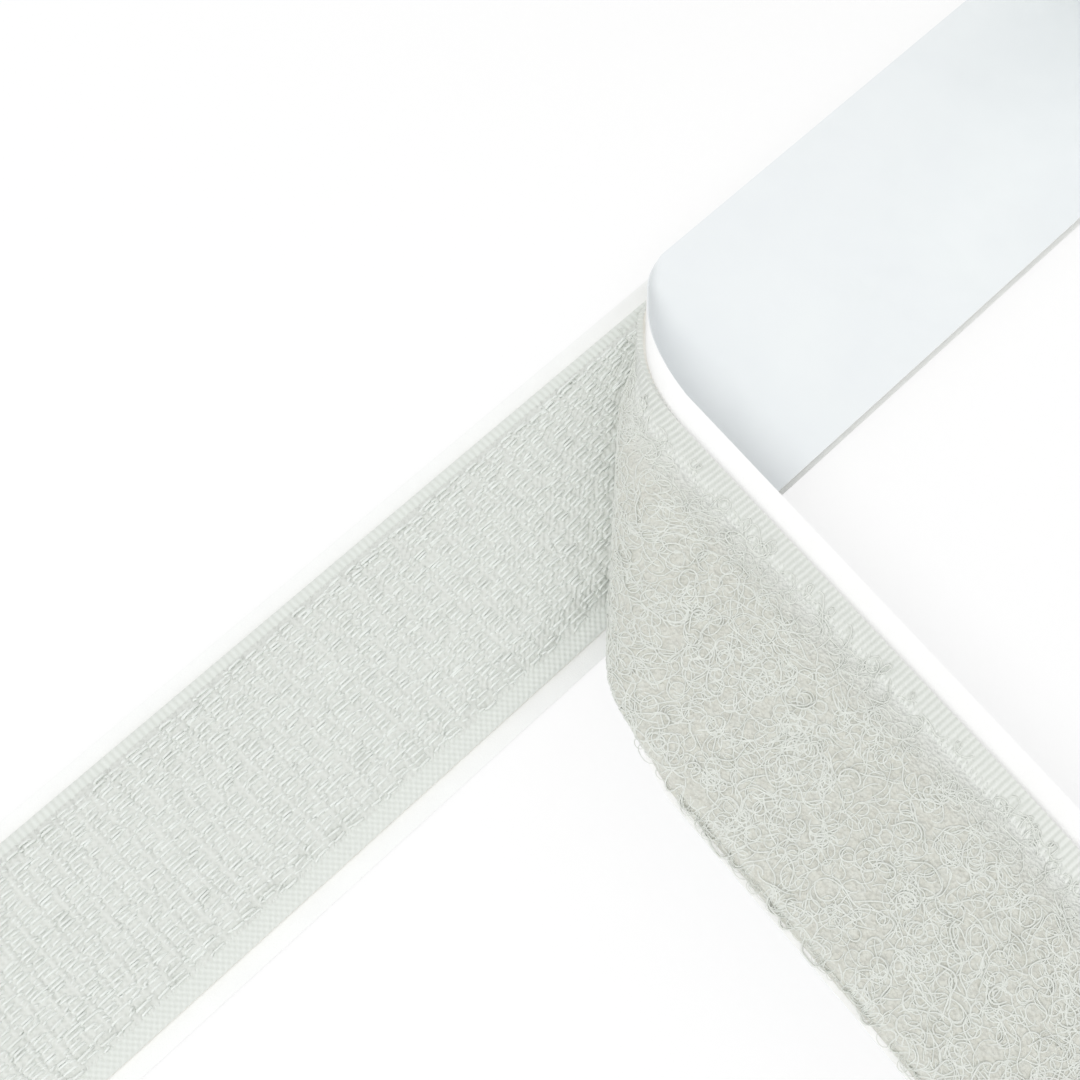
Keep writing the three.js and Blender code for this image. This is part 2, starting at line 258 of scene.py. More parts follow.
# Slow changes of tone over a piece, between two colours
def toneGroup():
    group, start, end = newGroup(
        "uneven tone",
        [
            ("Place", "NodeSocketVector", None),
            ("Scale", "NodeSocketFloat", 1.0),
            ("Light", "NodeSocketColor", (1, 1, 1, 1)),
            ("Dark", "NodeSocketColor", (0, 0, 0, 1)),
        ],
        [("Color", "NodeSocketColor")],
    )
    cloud = addNode(group, "TexNoise", {"Detail": 3.0, "Roughness": 0.6})
    group.links.new(start.outputs["Place"], cloud.inputs["Vector"])
    group.links.new(start.outputs["Scale"], cloud.inputs["Scale"])
    spread = addNode(group, "MapRange", {"From Min": 0.3, "From Max": 0.7})
    group.links.new(cloud.outputs["Fac"], spread.inputs["Value"])
    mix = addNode(group, "Mix", data_type="RGBA")
    group.links.new(spread.outputs["Result"], mix.inputs["Factor"])
    group.links.new(start.outputs["Dark"], mix.inputs[6])
    group.links.new(start.outputs["Light"], mix.inputs[7])
    group.links.new(mix.outputs[2], end.inputs["Color"])
    return group


weave = weaveGroup()
tone = toneGroup()


def linear(red, green, blue):
    parts = [c / 255 for c in (red, green, blue)]
    return (*[c / 12.92 if c <= 0.04045 else ((c + 0.055) / 1.055) ** 2.4 for c in parts], 1.0)


def newMaterial(name, **sockets):
    material = bpy.data.materials.new(name)
    material.use_nodes = True
    shader = material.node_tree.nodes["Principled BSDF"]
    for key, value in sockets.items():
        shader.inputs[key.replace("_", " ")].default_value = value
    return material, material.node_tree, shader


def flatPlace(tree):  # the place on the flat tape, in millimetres, that each piece carries
    return addNode(tree, "Attribute", attribute_name="flat").outputs["Vector"]


def addTone(tree, shader, place, scale, light, dark):
    node = addNode(tree, "Group", node_tree=tone)
    tree.links.new(place, node.inputs["Place"])
    node.inputs["Scale"].default_value = scale
    node.inputs["Light"].default_value = light
    node.inputs["Dark"].default_value = dark
    tree.links.new(node.outputs["Color"], shader.inputs["Base Color"])
    return node


def addBump(tree, shader, height, distance):
    bump = addNode(tree, "Bump", {"Distance": distance * mm, "Strength": 1.0})
    tree.links.new(height, bump.inputs["Height"])
    tree.links.new(bump.outputs["Normal"], shader.inputs["Normal"])


# A weave of picks and warp ends whose low gaps get the dark colour, which is painted shade; crossing is how
# far it is woven in checks, and a selvage that lies before the line that checks gives is woven so altogether
def wovenMaterial(name, light, dark, warp, crossing, depth, checks=None, pick=hookPick):
    material, tree, shader = newMaterial(name, Roughness=0.62, Sheen_Weight=0.25, Sheen_Roughness=0.5)
    place = flatPlace(tree)
    yarns = addNode(tree, "Group", node_tree=weave)
    yarns.inputs["Pick"].default_value = pick
    yarns.inputs["Warp"].default_value = warp
    yarns.inputs["Crossing"].default_value = crossing
    tree.links.new(place, yarns.inputs["Flat"])
    if checks:
        split = addNode(tree, "SeparateXYZ")
        tree.links.new(place, split.inputs[0])
        limits = {"From Min": checks, "From Max": checks + ribFade, "To Min": 1.0, "To Max": crossing}
        band = addNode(tree, "MapRange", limits)
        tree.links.new(split.outputs["Y"], band.inputs["Value"])
        tree.links.new(band.outputs["Result"], yarns.inputs["Crossing"])
    node = addTone(tree, shader, place, 0.35, light, [0.97 * c for c in light[:3]] + [1.0])
    # painted shade: the dark colour goes into the low gaps between the yarns
    paintedGapShade = addNode(tree, "Mix", data_type="RGBA")
    tree.links.new(yarns.outputs["Gap"], paintedGapShade.inputs["Factor"])
    tree.links.new(node.outputs["Color"], paintedGapShade.inputs[6])
    paintedGapShade.inputs[7].default_value = dark
    tree.links.new(paintedGapShade.outputs[2], shader.inputs["Base Color"])
    addBump(tree, shader, yarns.outputs["Height"], depth)
    return material


def strandMaterial(name, light, dark, roughness):
    material, tree, shader = newMaterial(name, Roughness=roughness, Sheen_Weight=0.2)
    place = addNode(tree, "TexCoord").outputs["Object"]
    addTone(tree, shader, place, 900.0, light, dark)
    return material


# Matted fibres, which turn to a lighter colour where they run out towards the selvage: partly the selvage's
# tone showing through, partly painted light that lifts the shade on the shoulder facing away from the key
# lamp
def matMaterial(name, light, dark, edge, selvageToneAndPaintedLight, fade=(5.0, 0.8)):
    material, tree, shader = newMaterial(name, Roughness=0.85, Sheen_Weight=0.3)
    place = addNode(tree, "TexCoord").outputs["Object"]
    node = addTone(tree, shader, place, 1500.0, light, dark)
    split = addNode(tree, "SeparateXYZ")
    tree.links.new(flatPlace(tree), split.inputs[0])
    # painted light and selvage tone: lighter over the last few millimetres before the ribbed side
    band = addNode(tree, "MapRange", {"From Min": edge - fade[0], "From Max": edge - fade[1]})
    tree.links.new(split.outputs["Y"], band.inputs["Value"])
    mix = addNode(tree, "Mix", data_type="RGBA")
    tree.links.new(band.outputs["Result"], mix.inputs["Factor"])
    tree.links.new(node.outputs["Color"], mix.inputs[6])
    mix.inputs[7].default_value = selvageToneAndPaintedLight
    tree.links.new(mix.outputs[2], shader.inputs["Base Color"])
    cells = addNode(tree, "TexVoronoi", {"Scale": 2600.0}, feature="F1")
    tree.links.new(place, cells.inputs["Vector"])
    addBump(tree, shader, cells.outputs["Distance"], 0.25)
    return material


def filmMaterial():
    material, tree, shader = newMaterial(
        "film liner", Roughness=0.2, Coat_Weight=0.3, Coat_Roughness=0.1, Specular_IOR_Level=0.5
    )
    place = flatPlace(tree)
    addTone(tree, shader, place, 0.06, linear(239, 243, 244), linear(235, 239, 241))
    ripple = addNode(tree, "TexNoise", {"Scale": 0.13, "Detail": 1.5})
    tree.links.new(place, ripple.inputs["Vector"])
    addBump(tree, shader, ripple.outputs["Fac"], 0.5)
    return material


def paperMaterial(name, light, dark, roughness):
    material, tree, shader = newMaterial(name, Roughness=roughness, Specular_IOR_Level=0.45)
    place = flatPlace(tree)
    addTone(tree, shader, place, 0.2, light, dark)
    grain = addNode(tree, "TexNoise", {"Scale": 6.0, "Detail": 4.0})
    tree.links.new(place, grain.inputs["Vector"])
    addBump(tree, shader, grain.outputs["Fac"], 0.03)
    return material


def adhesiveMaterial():
    material, tree, shader = newMaterial("adhesive", Roughness=0.3)
    place = flatPlace(tree)
    addTone(tree, shader, place, 0.5, linear(240, 239, 232), linear(230, 228, 218))
    return material


card = {"strip": 32.0, "lap": 0.012, "ply": 0.16, "plyMark": 0.45, "lapMark": 0.8}


def cardMaterial():  # its paper is wound in a helix, and its plies show on the rims
    material, tree, shader = newMaterial("cardboard", Roughness=0.82)
    place = addNode(tree, "TexCoord").outputs["Object"]
    node = addTone(tree, shader, place, 260.0, linear(190, 165, 134), linear(172, 146, 114))
    centred = addNode(tree, "Mapping")
    centred.inputs["Location"].default_value = (-rollX * mm, 0.0, -rollZ * mm)
    tree.links.new(place, centred.inputs["Vector"])
    split = addNode(tree, "SeparateXYZ")
    tree.links.new(centred.outputs[0], split.inputs[0])
    turn = math2(tree, "DIVIDE", math2(tree, "ARCTAN2", split.outputs["Z"], split.outputs["X"]), 2 * math.pi)
    along = math2(tree, "DIVIDE", split.outputs["Y"], card["strip"] * mm)
    strip = math2(tree, "PINGPONG", math2(tree, "ADD", turn, along), 0.5)
    lap = addNode(tree, "MapRange", {"From Min": 0.0, "From Max": card["lap"], "To Min": 1.0, "To Max": 0.0})
    tree.links.new(strip, lap.inputs["Value"])
    squares = [math2(tree, "POWER", split.outputs[axis], 2.0) for axis in ("X", "Z")]
    radius = math2(tree, "SQRT", math2(tree, "ADD", *squares), 0.0)
    plies = math2(tree, "PINGPONG", radius, card["ply"] * mm)
    plies = math2(tree, "MULTIPLY", plies, card["plyMark"] / (card["ply"] * mm))
    laps = math2(tree, "MULTIPLY", lap.outputs["Result"], card["lapMark"])
    marks = math2(tree, "MAXIMUM", laps, plies)
    mix = addNode(tree, "Mix", data_type="RGBA")
    tree.links.new(marks, mix.inputs["Factor"])
    tree.links.new(node.outputs["Color"], mix.inputs[6])
    mix.inputs[7].default_value = linear(150, 125, 95)
    tree.links.new(mix.outputs[2], shader.inputs["Base Color"])
    fibres = addNode(tree, "TexNoise", {"Scale": 1500.0, "Detail": 5.0})
    tree.links.new(place, fibres.inputs["Vector"])
    groove = math2(tree, "MULTIPLY", lap.outputs["Result"], 2.0)
    addBump(tree, shader, math2(tree, "SUBTRACT", fibres.outputs["Fac"], groove), 0.08)
    return material


# Each finish has a lighter and a darker tone; in the woven ones the darker is painted shade in the gaps
# between yarns
materials = {
    "hookPly": wovenMaterial(
        "hook ply", linear(229, 233, 228), linear(221, 225, 219), warp=0.84, crossing=0.1, depth=0.02,
        checks=-9.9,
    ),
    "loopPly": wovenMaterial(
        "loop ply", linear(239, 242, 237), linear(218, 222, 215), warp=0.43, crossing=0.1, depth=0.04,
        pick=loopPick,
    ),
    "stems": wovenMaterial(
        "hook stems", linear(226, 229, 224), linear(216, 219, 213), warp=0.583, crossing=0.5, depth=0.04
    ),
    "hook": strandMaterial("hook strand", linear(239, 243, 239), linear(228, 232, 227), 0.5),
    "loop": strandMaterial("loop strand", linear(232, 235, 229), linear(224, 227, 221), 0.55),
    # the last colour of the pile bed is the selvage's tone and painted light on its shoulder
    "pileBed": matMaterial(
        "pile bed", linear(223, 225, 217), linear(215, 215, 205), pileLeft, linear(231, 234, 229)
    ),
    "film": filmMaterial(),
    "paper": paperMaterial("paper liner", linear(250, 251, 250), linear(247, 248, 247), 0.42),
    "release": paperMaterial("release side of the film", linear(254, 254, 254), linear(252, 252, 251), 0.3),
    "adhesive": adhesiveMaterial(),
    "card": cardMaterial(),
}
print("materials made")


def finishPiece(name, mesh, material, body, replaced):
    piece = bpy.data.objects.new(name, mesh)
    scene.collection.objects.link(piece)
    mesh.materials.clear()
    for word in material.split():
        mesh.materials.append(materials[word])
    for face in mesh.polygons:
        face.use_smooth = True
    if body:
        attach(piece, body)
    if replaced:
        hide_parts(*replaced)
    return piece


def solidMesh(piece, thickness):  # gives a surface its thickness, behind its face
    solid = piece.modifiers.new("thickness", "SOLIDIFY")
    solid.thickness = thickness * mm
    solid.offset = -1
    solid.use_even_offset = True
    solid.material_offset = solid.material_offset_rim = len(piece.data.materials) - 1
    bpy.context.view_layer.update()
    mesh = bpy.data.meshes.new_from_object(piece.evaluated_get(bpy.context.evaluated_depsgraph_get()))
    piece.modifiers.clear()
    piece.data = mesh
    mesh.set_sharp_from_angle(angle=math.radians(50))


# A strip of sheet from a grid: its ends are lines over the tape's width, and place gives each point
# its spot at the depth. More may hold the columns' shares of the width, a lift of the face, the slant
# of the picks (skew), what a step along it measures on the flat tape, and flip, which turns it over.
def sheetPiece(name, ends, edges, cuts, thickness, place, depth, material, body, slot, replaced=(), **more):
    columns = more.get("columns") or [i / cuts[1] for i in range(cuts[1] + 1)]
    lift = more.get("lift")
    bm = bmesh.new()
    bmesh.ops.create_grid(bm, x_segments=cuts[0], y_segments=len(columns) - 1, size=1.0)
    flat = bm.verts.layers.float_vector.new("flat")
    for v in bm.verts:
        share = (v.co.x + 1) / 2
        column = round((v.co.y + 1) / 2 * (len(columns) - 1))
        y = edges[0] + (edges[1] - edges[0]) * columns[column]
        x = ends[0](y) + (ends[1](y) - ends[0](y)) * share
        v[flat] = (more.get("flatAlong", 1.0) * x + more.get("skew", 0.0) * y, y, 0.0)
        v.co = place(x, y, depth + (lift(x, y) if lift else 0.0)) * mm
    if more.get("flip"):
        bmesh.ops.reverse_faces(bm, faces=bm.faces)
    mesh = bpy.data.meshes.new(name)
    bm.to_mesh(mesh)
    bm.free()
    piece = finishPiece(name, mesh, material, None, replaced)
    solidMesh(piece, thickness)
    if body:
        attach(piece, body)
    return piece


def blendBend(piece):  # bakes a fold piece's placement into its mesh; the fold's pieces bend between the strip and the leaf by their places on the fold
    anchor = Vector(joint["pos_m"])
    start, end = anchor.copy(), anchor.copy()
    start.z = (loopFace + linerBack + fold["blendOver"]) * mm
    end.z = (leafHeight - linerBack - fold["blendUnder"]) * mm
    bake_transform(piece)


def ribColumns(width, first, last, firstCuts=8, middleCuts=6, lastCuts=8):  # bunched in the selvages
    shares = [first / width * i / firstCuts for i in range(firstCuts + 1)]
    middle = 1 - (first + last) / width
    shares += [first / width + middle * i / middleCuts for i in range(1, middleCuts)]
    return shares + [1 - last / width * (lastCuts - i) / lastCuts for i in range(lastCuts + 1)]


# The hook tape: its ply with a plain and a checked selvage, the adhesive and the paper liner
leader = {
    "start": tapeLow.x, "end": tapeHigh.x, "skew": 0.057, "selvageTop": 1.5, "selvageLow": 2.5,
    "plainRib": 0.018, "checkRib": 0.085, "check": 0.42, "roundWide": 0.6, "roundDeep": 0.32,
}
hookLayers = {
    "ply": {"top": hookFace - 0.05, "thick": 0.72, "cuts": (1100, 0)},
    "film": {"top": 0.47, "thick": 0.32, "inset": 0.05, "cuts": (60, 4)},
    "liner": {"top": 0.15, "thick": 0.15, "cuts": (200, 12)},
}


def roundOff(edge):  # how far the ply's face drops at its edge, where the selvage is rounded
    return leader["roundDeep"] * max(0.0, 1 - edge / leader["roundWide"]) ** 2


def hookRib(x, y):
    edge = min(half - y, half + y)
    wide = leader["selvageTop"] if y > 0 else leader["selvageLow"]
    if edge > wide + ribFade:
        return 0.0
    beat = math.cos(2 * math.pi * (x + leader["skew"] * y) / hookPick)
    if y < 0:
        beat *= math.cos(math.pi * edge / leader["check"])
        return leader["checkRib"] * beat - roundOff(edge)
    return leader["plainRib"] * beat - roundOff(edge)


def makeHookTape(standing):
    ends = (at(leader["start"]), at(leader["end"]))
    columns = ribColumns(2 * half, leader["selvageLow"], leader["selvageTop"], firstCuts=16)
    ply, film, liner = hookLayers["ply"], hookLayers["film"], hookLayers["liner"]
    # The ply's back and cut sides take the adhesive finish: on the back it is the glue, on the cut sides it
    # is a lighter colour put there as painted light against the shade on the side face
    tape = sheetPiece(
        "hook_tape_ply", ends, (-half, half), ply["cuts"], ply["thick"], onStrip, ply["top"],
        "hookPly adhesive", root, "hook_nylon", ("hook_tape",),
        columns=columns, lift=hookRib, skew=leader["skew"],
    )
    edge = half - film["inset"]
    adhesive = sheetPiece(
        "hook_adhesive_film", ends, (-edge, edge), film["cuts"], film["thick"], onStrip, film["top"],
        "adhesive", root, "adhesive", ("hook_adhesive",),
    )
    paper = sheetPiece(
        "hook_paper_liner", ends, (-linerHalf, linerHalf), liner["cuts"], liner["thick"], onStrip,
        liner["top"], "paper", root, "paper_liner", ("hook_liner",),
    )


# Hooks: bars of strand over two picks in three, rooted in the ply, bent over along the tape and cut
# off short beside a stub; every other column stands half a bar further across
hooks = {
    "bars": 0.583, "column": 2.205, "first": 0.6, "radius": 0.15, "root": 0.1, "height": 1.6, "reach": 1.55,
    "late": 0.3, "longer": 0.8, "longShare": 0.08, "lean": 0.16, "edgeLean": 0.2, "stray": 0.5,
    "strayShare": 0.14, "lowSlope": 2.6, "highSlope": 1.8, "least": 0.1, "tilt": 0.13, "across": 0.08,
    "along": 0.36, "heights": (0.94, 1.03), "reaches": (0.84, 1.1), "radii": (0.86, 1.06), "overLow": 0.4,
    "slowWaver": 0.3, "quickWaver": 0.22, "edgeWaver": 0.35, "edge": 0.2, "pileGap": 0.2, "sunk": 0.04,
    "seed": 4,
}
stubs = {
    "share": 0.9, "bare": 1.5, "tilt": 0.2, "across": 0.15, "behind": 0.15,
    "heights": (0.9, 0.97), "reaches": (0.4, 0.75), "radii": (0.8, 1.0),
}
bentShape = [(0, 0), (0, 0.55), (0.05, 0.84), (0.18, 0.98), (0.8, 0.98), (0.95, 0.84), (1.0, 0.6)]
stubShape = [(0, 0.6), (0.15, 0.95), (0.85, 0.97), (1.0, 0.6)]
hookLow, hookHigh = -half + leader["selvageLow"] - hooks["overLow"], half - leader["selvageTop"]


# Strands as tubes, each from a list of points and a share of the radius
def strandCurve(name, strands, radius, rounder=0):
    curve = bpy.data.curves.new(name, "CURVE")
    curve.dimensions = "3D"
    curve.bevel_depth = radius * mm
    curve.bevel_resolution = rounder
    curve.use_fill_caps = True
    for points, share in strands:
        spline = curve.splines.new("POLY")
        spline.points.add(len(points) - 1)
        for spot, point in zip(spline.points, points):
            spot.co = (*(point * mm), 1.0)
            spot.radius = share
    holder = bpy.data.objects.new(name, curve)
    scene.collection.objects.link(holder)
    bpy.context.view_layer.update()
    mesh = bpy.data.meshes.new_from_object(holder.evaluated_get(bpy.context.evaluated_depsgraph_get()))
    bpy.data.objects.remove(holder)
    return mesh


def columnStart(column, x, y):  # the columns of hooks lean and waver a little
    slow = noise.noise(Vector((x * 0.2, y * 0.5, 0.0)))
    quick = noise.noise(Vector((x * 0.5, y * 1.3, 9.0)))
    waver = hooks["slowWaver"] * slow + hooks["quickWaver"] * quick
    return leader["start"] + hooks["first"] + column * hooks["column"] - leader["skew"] * y + waver


def fieldRise(x, y):  # the hooks come up from the selvages over a little way
    waver = hooks["edgeWaver"] * noise.noise(Vector((x * 0.45, 0.0, 4.0)))
    low = ease((y - hookLow - waver + hooks["edge"]) / hooks["lowSlope"])
    return min(low, ease((hookHigh + hooks["edge"] - y) / hooks["highSlope"]))


def hookEnd(y):  # the free hooks reach to the pile of the fold, which is low beside its selvage
    swell = fold["lower"] + max(0.0, bedTop(flatX(y, 1.0), y))
    out = math.sqrt(swell * swell - (fold["lower"] - hooks["sunk"]) ** 2)
    return flatX(y, out - hooks["pileGap"])


def aside(rng, most):
    return rng.uniform(-most, most)


def strandTop(rng, rise, heights):
    return hooks["height"] * rng.uniform(*heights) * (hooks["least"] + (1 - hooks["least"]) * rise)


def hookStrand(rng, x, y, way, reach):
    rise = fieldRise(x, y)
    top = strandTop(rng, rise, hooks["heights"])
    lean = aside(rng, 1) * (hooks["lean"] + hooks["edgeLean"] * (1 - rise))
    if rng.random() < hooks["strayShare"]:
        lean += aside(rng, hooks["stray"]) * rise
    base = hookFace - hooks["root"]
    tilt = aside(rng, hooks["tilt"])
    points = [Vector((x + way * reach * a, y + lean * b + tilt * a, base + top * b)) for a, b in bentShape]
    return points, rng.uniform(*hooks["radii"])


def stubStrand(rng, x, y):  # the cut stub of a hook, low in the lane between two columns
    top = strandTop(rng, fieldRise(x, y), stubs["heights"])
    tilt, reach = aside(rng, stubs["tilt"]), rng.uniform(*stubs["reaches"])
    base = hookFace - hooks["root"]
    points = [Vector((x - reach * a, y + tilt * a, base + top * b)) for a, b in stubShape]
    return points, rng.uniform(*stubs["radii"])


def makeHooks():
    rng = random.Random(hooks["seed"])
    strands = []
    for column in range(int((flatX(hookHigh, 0) - leader["start"]) / hooks["column"])):
        for bar in range(int((hookHigh - hookLow) / hooks["bars"])):
            y = hookLow + (bar + 0.25 + 0.5 * (column % 2)) * hooks["bars"] + aside(rng, hooks["across"])
            x = columnStart(column, leader["start"] + column * hooks["column"], y)
            late = hooks["late"] if bar % 3 == 0 else 0.0
            longer = hooks["longer"] if rng.random() < hooks["longShare"] else 0.0
            reach = (hooks["reach"] - late + longer) * rng.uniform(*hooks["reaches"])
            x += late + aside(rng, hooks["along"])
            if x + reach > hookEnd(y):
                continue
            way = 1 if bar % 2 else -1
            strands.append(hookStrand(rng, x if way > 0 else x + reach, y, way, reach))
            if x > leader["start"] + stubs["bare"] and rng.random() < stubs["share"]:
                back = rng.uniform(0.0, stubs["behind"])
                strands.append(stubStrand(rng, x - back, y + aside(rng, stubs["across"])))
    mesh = strandCurve("hooks", strands, hooks["radius"], 1)
    nodes = [f"hook_rows_{i}" for i in (1, 2, 3, 4)]
    print("hooks", len(strands), "faces", len(mesh.polygons))
    return finishPiece("hook_field", mesh, "hook", root, nodes)


# The bed of close stems under the hooks, with ribs of the picks and a furrow before each column
stems = {
    "height": 1.34, "thick": 0.4, "below": 0.08, "rib": 0.03, "furrow": 0.12, "furrowWide": 0.06,
    "ribPlace": 0.86, "start": 1.2, "inset": 0.2, "pastLow": 0.4, "pastHigh": 0.3, "cuts": (830, 32),
}


def stemLift(x, y):
    place = (x - columnStart(0, x, y)) / hooks["column"] % 1.0
    beside = (place + 0.5) % 1.0 - 0.5
    depth = 1 + noise.noise(Vector((x, y * 2.5, 7.0)))
    furrow = math.exp(-(beside / stems["furrowWide"]) ** 2) * depth
    rise = min(fieldRise(x, y), ease((x - leader["start"]) / stems["start"]))
    sink = (stems["height"] + stems["below"]) * (1 - rise)
    rib = stems["rib"] * math.cos(6 * math.pi * (place - stems["ribPlace"]))  # three picks to a column
    return rib - stems["furrow"] * furrow - sink


def makeStems():
    ends = (at(leader["start"] + stems["inset"]), hookEnd)
    edges = (hookLow - stems["pastLow"], hookHigh + stems["pastHigh"])
    return sheetPiece(
        "hook_stems", ends, edges, stems["cuts"], stems["thick"], onStrip, hookFace + stems["height"],
        "stems", root, "hook_nylon", lift=stemLift, skew=leader["skew"],
    )


# The loop tape's layers: each is a stretch on the strip, one in the fold and one in the leaf
loopSheets = {
    "ply": {
        "node": "loop_tape", "edges": (loopRight, loopLeft), "near": 0.0, "thick": 0.6,
        "material": "loopPly", "slot": "loop_nylon", "bendCuts": 160, "leafCuts": 700,
    },
    "adhesive_film": {
        "node": "loop_adhesive", "edges": (loopRight + 0.05, loopLeft - 0.05), "near": 0.6, "thick": 0.3,
        "material": "adhesive", "slot": "adhesive", "bendCuts": 48, "leafCuts": 120,
    },
    "release_film": {
        "node": "loop_liner", "edges": (-linerHalf, linerHalf), "near": 0.9, "thick": 0.15,
        "material": "release film", "slot": "film_liner", "bendCuts": 48, "leafCuts": 120,
    },
}
loopRibHeight = 0.085


def loopRib(x, y):
    if min(loopLeft - y, y - loopRight) > loopSelvage + ribFade:
        return 0.0
    return loopRibHeight * math.cos(2 * math.pi * x / loopPick)


def makeLoopSheets(standing):
    for word, sheet in loopSheets.items():
        edges = sheet["edges"]
        more = {"flip": True}
        if word == "ply":
            more.update(columns=ribColumns(2 * half, loopSelvage, loopSelvage), lift=loopRib)
        stretches = [
            ("mated", peelLine, at(tapeHigh.x), (60, 8), onMated, root),
            ("bend", leafLine, peelLine, (sheet["bendCuts"], 10), onFold, None),
            ("leaf", at(tapeLow.x), leafLine, (sheet["leafCuts"], 10), onLeaf, leafBody),
        ]
        for stretch, left, right, cuts, place, body in stretches:
            piece = sheetPiece(
                f"loop_{word}_{stretch}", (left, right), edges, cuts, sheet["thick"], place, sheet["near"],
                sheet["material"], body, sheet["slot"], (f"{sheet['node']}_{stretch}",), **more,
            )
            if stretch == "bend":
                blendBend(piece)
            long = abs(right(0) - left(0))


# The pile: a lumpy bed of low fibres, curly strands that lie over it, and fine loops that stand out
# over its loose edge
pile = {
    "bed": 1.4, "lumps": 0.13, "lumpScale": 0.75, "fineScale": 1.9, "fineShare": 0.45, "thick": 0.25,
    "ribSide": 5.5, "ribGap": 0.3, "looseSide": 0.9, "pastLoose": 0.35, "pastEnd": 0.3, "overhang": 0.4,
    "overDeep": 0.83, "sunk": 0.05, "least": 0.1,
    "bendCuts": (120, 110), "leafCuts": (420, 110),
}
curls = {
    "radius": 0.098, "radii": (0.7, 1.1), "density": 1.16, "steps": 13, "step": (0.3, 0.42),
    "bend": (0.4, 1.5), "swerve": 0.8, "sharpest": 1.7, "turnBack": 0.9, "rise": 0.05, "loose": 0.04,
    "looseRise": (0.12, 0.3), "uneven": (-0.02, 0.03), "root": 0.1, "lowest": 0.03, "under": 0.8,
    "thinWide": 4.0, "thinnest": 0.12, "edging": 0.03, "edgeWide": 0.8, "beyond": 0.5, "pastLoose": 0.9,
    "clear": 0.3, "cut": 22, "seed": 11,
}
fringe = {
    "density": 1.8, "steps": 8, "wide": (0.3, 1.0), "out": (0.4, 1.4), "low": (-0.5, 0.4), "inside": 0.2,
    "slant": 0.2, "arch": 0.3, "radii": (0.35, 0.5),
}
curlsLeft = pileLeft + curls["beyond"]  # strands start as far as this past the ribbed side's line


def bedTop(x, y):  # height of the bed over the ply's face
    spot = Vector((x, y, 0.0))
    fine = noise.noise(spot * pile["fineScale"])
    lumps = noise.noise(spot * pile["lumpScale"]) + pile["fineShare"] * fine
    shoulder = min(
        ease((pileLeft - pile["ribGap"] - y) / pile["ribSide"]),
        ease((y - pileRight + pile["pastLoose"]) / pile["looseSide"]),
        ease((x - tapeLow.x + pile["pastEnd"]) / pile["looseSide"]),  # and down to the cut end
    )
    overEdge = pile["overDeep"] * ease((pileRight - y) / pile["overhang"])  # over the loose edge's rim
    return -pile["sunk"] + (pile["least"] + pile["bed"] + pile["lumps"] * lumps) * shoulder - overEdge


def within(value, limit):
    return max(-limit, min(limit, value))


def wanderingStrand(rng, x, y, place):
    heading = rng.uniform(0, 2 * math.pi)
    bend = rng.choice((-1, 1)) * rng.uniform(*curls["bend"])
    step = rng.uniform(*curls["step"])
    rise = rng.uniform(*curls["looseRise"]) if rng.random() < curls["loose"] else curls["rise"]
    points = []
    for i in range(curls["steps"]):
        share = i / (curls["steps"] - 1)
        rooted = curls["root"] if share in (0, 1) else 0.0
        over = rise * math.sin(math.pi * share) + rng.uniform(*curls["uneven"]) - rooted
        lowest = curls["lowest"] - curls["under"] * ease((pileRight - y) / curls["under"])
        points.append(place(x, y, -max(lowest, bedTop(x, y)) - over))
        heading += bend * step
        bend = within(bend + aside(rng, curls["swerve"]), curls["sharpest"])
        x = max(tapeLow.x, x + step * math.cos(heading))
        y = max(pileRight - curls["pastLoose"], y + step * math.sin(heading))
        if y > curlsLeft or y < pileRight + 0.05:  # a strand that strays over an edge curls back
            inward = math.copysign(math.pi / 2, -y)
            heading += within((inward - heading + math.pi) % (2 * math.pi) - math.pi, curls["turnBack"])
    return points, rng.uniform(*curls["radii"])


def fringeLoop(rng, x, place):  # a fine loop that stands out over the loose edge
    wide, out = rng.uniform(*fringe["wide"]), rng.uniform(*fringe["out"])
    low = rng.uniform(*fringe["low"])
    points = []
    for i in range(fringe["steps"] + 1):
        turn = math.pi * i / fringe["steps"]
        loopX = x + wide * math.cos(turn) + fringe["slant"] * out * math.sin(2 * turn)
        loopY = pileRight + fringe["inside"] - out * math.sin(turn)
        points.append(place(loopX, loopY, -low - fringe["arch"] * math.sin(turn)))
    return points, rng.uniform(*fringe["radii"])


def makePileBeds():
    beds = {}
    for stretch, left, right, cuts, place, body in (
        ("bend", leafLine, peelLine, pile["bendCuts"], onFold, None),
        ("leaf", at(tapeLow.x), leafLine, pile["leafCuts"], onLeaf, leafBody),
    ):
        bed = sheetPiece(
            f"loop_pile_bed_{stretch}", (left, right), (pileRight - pile["overhang"], pileLeft), cuts,
            pile["thick"], place, 0.0, "pileBed", body, "loop_nylon", (f"loop_pile_{stretch}",),
            lift=lambda x, y: -bedTop(x, y), flip=True,
        )
        if stretch == "bend":
            blendBend(bed)
        beds[stretch] = [bed]
    return beds


